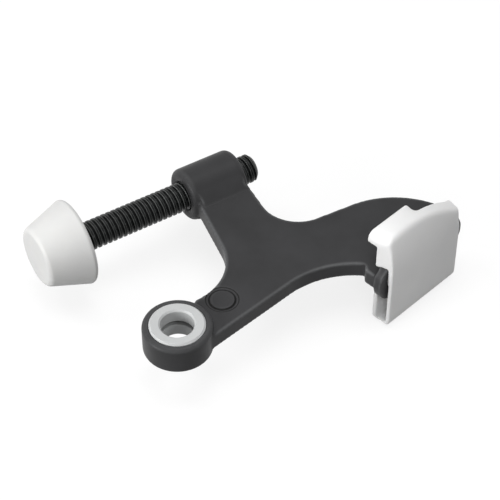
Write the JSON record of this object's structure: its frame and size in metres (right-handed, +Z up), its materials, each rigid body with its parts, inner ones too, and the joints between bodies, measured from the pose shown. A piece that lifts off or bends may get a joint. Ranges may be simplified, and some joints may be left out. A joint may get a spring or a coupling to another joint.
{
  "type": "hinge pin door stop",
  "caption": "Cast arm that turns on a door's hinge pin, with a screwed rubber bumper at one end and a clipped pad at the other to hold a door off the wall.",
  "frame": {"origin": "middle of the hinge pin's bore, halfway up the eye", "axes": "+Z up the hinge pin, +X along the bumper screw from the bumper to the barrel, +Y from the pin to the screw"},
  "size_m": [0.093, 0.0641, 0.029],
  "materials": {
    "black_casting": "satin",
    "black_screw": "satin",
    "white_plastic": "satin",
    "white_rubber": "matte",
    "white_pad": "satin"
  },
  "bodies": {
    "arm": {"arm": "black_casting", "upper_bush": "white_plastic", "lower_bush": "white_plastic", "pad": "white_pad"},
    "bumper": {"bumper": "white_rubber"},
    "screw": {"bumper_screw": "black_screw"}
  },
  "joints": [
    {"name": "bumper_feed", "type": "slide", "parent": "arm", "child": "bumper", "axis": [1, 0, 0], "range_m": [-0.0084, 0.028]},
    {"name": "screw_turn", "type": "hinge", "parent": "bumper", "child": "screw", "pos_m": [-0.0116, 0.0395, 0], "axis": [1, 0, 0], "range_deg": [-2162, 7202]}
  ],
  "couplings": [
    {"joint": "screw_turn", "follows": "bumper_feed", "rad_per_m": 4488}
  ]
}
